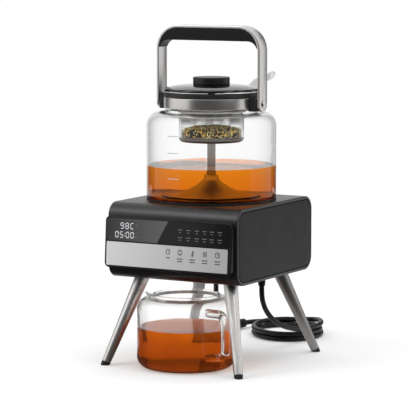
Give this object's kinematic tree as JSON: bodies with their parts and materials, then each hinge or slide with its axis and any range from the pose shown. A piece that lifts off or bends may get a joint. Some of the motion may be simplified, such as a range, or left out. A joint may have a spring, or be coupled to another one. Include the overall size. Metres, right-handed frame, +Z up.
{
  "type": "tea maker",
  "caption": "Automatic tea maker: glass kettle with swinging bail, lifting lid and leaf infuser on a heating base with touch panel, over a glass server between splayed legs.",
  "frame": {"origin": "on the floor under the kettle's axis", "axes": "+Z up, +X to the right along the control panel, -Y out of the control panel towards the user"},
  "size_m": [0.1761, 0.3457, 0.3622],
  "materials": {
    "housing_enamel": "satin black enamel",
    "end_plate_black": "fine matt",
    "panel_black": "gloss",
    "panel_window": "smoked, polished",
    "strip_silver": "fine brushed",
    "display_dark": "gloss",
    "circuit_board": "solder mask",
    "leg_steel": "brushed along its length",
    "foot_rubber": "matt",
    "socket_steel": "as cast",
    "screw_steel": "zinc plated",
    "plate_steel": "fine turned",
    "element_steel": "matt",
    "sensor_metal": "plain",
    "silicone_grey": "translucent matt",
    "silicone_clear": "matt",
    "nozzle_grey": "fine matt",
    "coil_black": "matt",
    "drain_grey": "fine matt",
    "kettle_glass": "clear, polished",
    "ring_black": "fine matt",
    "band_steel": "brushed round",
    "hinge_black": "fine matt",
    "rivet_steel": "polished",
    "valve_steel": "polished",
    "spring_steel": "polished",
    "tea_orange": "liquid",
    "bail_steel": "brushed along its length",
    "grip_black": "fine matt",
    "lid_glass": "clear, polished",
    "seal_black": "matt",
    "knob_black": "satin",
    "infuser_steel": "polished",
    "cup_glass": "clear, polished",
    "leaves_brown": "dry curled leaves",
    "server_glass": "clear, polished",
    "cord_black": "matt",
    "pin_brass": "nickel plated"
  },
  "bodies": {
    "base": {"control_board": "circuit_board", "cord_coil": "cord_black", "cord_gland": "cord_black", "cord_lead": "cord_black", "cord_tail": "cord_black", "display_module": "display_dark", "drain_cup": "drain_grey", "drain_hose": "silicone_clear", "drain_socket": "silicone_grey", "end_plate_left": "end_plate_black", "end_plate_right": "end_plate_black", "foot_front_left": "foot_rubber", "foot_front_right": "foot_rubber", "foot_rear_left": "foot_rubber", "foot_rear_right": "foot_rubber", "heating_element": "element_steel", "heating_plate": "plate_steel", "housing_shell": "housing_enamel", "leg_front_left": "leg_steel", "leg_front_right": "leg_steel", "leg_rear_left": "leg_steel", "leg_rear_right": "leg_steel", "leg_screws": "screw_steel", "leg_sockets": "socket_steel", "nozzle": "nozzle_grey", "panel_frame": "panel_black", "panel_glass": "panel_window", "panel_strip": "strip_silver", "plug_body": "cord_black", "plug_pins": "pin_brass", "solenoid": "coil_black", "thermostat": "sensor_metal", "touch_board": "circuit_board"},
    "kettle": {"kettle_glass": "kettle_glass", "kettle_spout": "kettle_glass", "kettle_base_ring": "ring_black", "neck_band": "band_steel", "hinge_block_left": "hinge_black", "hinge_block_right": "hinge_black", "bail_rivets": "rivet_steel", "drain_valve": "valve_steel", "drain_spring": "spring_steel", "kettle_tea": "tea_orange"},
    "bail": {"bail_strap": "bail_steel", "bail_grip": "grip_black"},
    "lid": {"lid_glass": "lid_glass", "lid_seal": "seal_black", "lid_knob": "knob_black", "lid_nut": "screw_steel"},
    "infuser": {"infuser_ring": "infuser_steel", "infuser_flange": "infuser_steel", "infuser_cup": "cup_glass", "infuser_mesh": "infuser_steel", "tea_leaves": "leaves_brown", "riser_tube": "infuser_steel", "riser_bell": "infuser_steel"},
    "server": {"server_pot": "server_glass", "server_tea": "tea_orange"},
    "pin": {"solenoid_pin": "valve_steel"},
    "plunger": {"drain_plunger": "valve_steel"}
  },
  "joints": [
    {"name": "kettle_lift", "type": "slide", "parent": "base", "child": "kettle", "axis": [0, 0, 1], "range_m": [0, 0.12]},
    {"name": "bail_swing", "type": "hinge", "parent": "kettle", "child": "bail", "pos_m": [0, 0, 0.28], "axis": [1, 0, 0], "range_deg": [-62, 85]},
    {"name": "lid_lift", "type": "slide", "parent": "kettle", "child": "lid", "axis": [0, 0, 1], "range_m": [0, 0.034]},
    {"name": "infuser_lift", "type": "slide", "parent": "kettle", "child": "infuser", "axis": [0, 0, 1], "range_m": [0, 0.024], "deforming": ["kettle_tea"]},
    {"name": "server_slide", "type": "slide", "parent": "base", "child": "server", "axis": [0, -1, 0], "range_m": [0, 0.16]},
    {"name": "pin_push", "type": "slide", "parent": "base", "child": "pin", "axis": [0, 0, 1], "range_m": [0, 0.003], "stiffness_N_per_m": 100, "springref_m": -0.002},
    {"name": "plunger_lift", "type": "slide", "parent": "kettle", "child": "plunger", "axis": [0, 0, 1], "range_m": [0, 0.003], "deforming": ["drain_spring"]}
  ],
  "couplings": [
    {"joint": "infuser_lift", "follows": "lid_lift", "ratio": 0.7},
    {"joint": "plunger_lift", "follows": "pin_push", "ratio": 1}
  ]
}
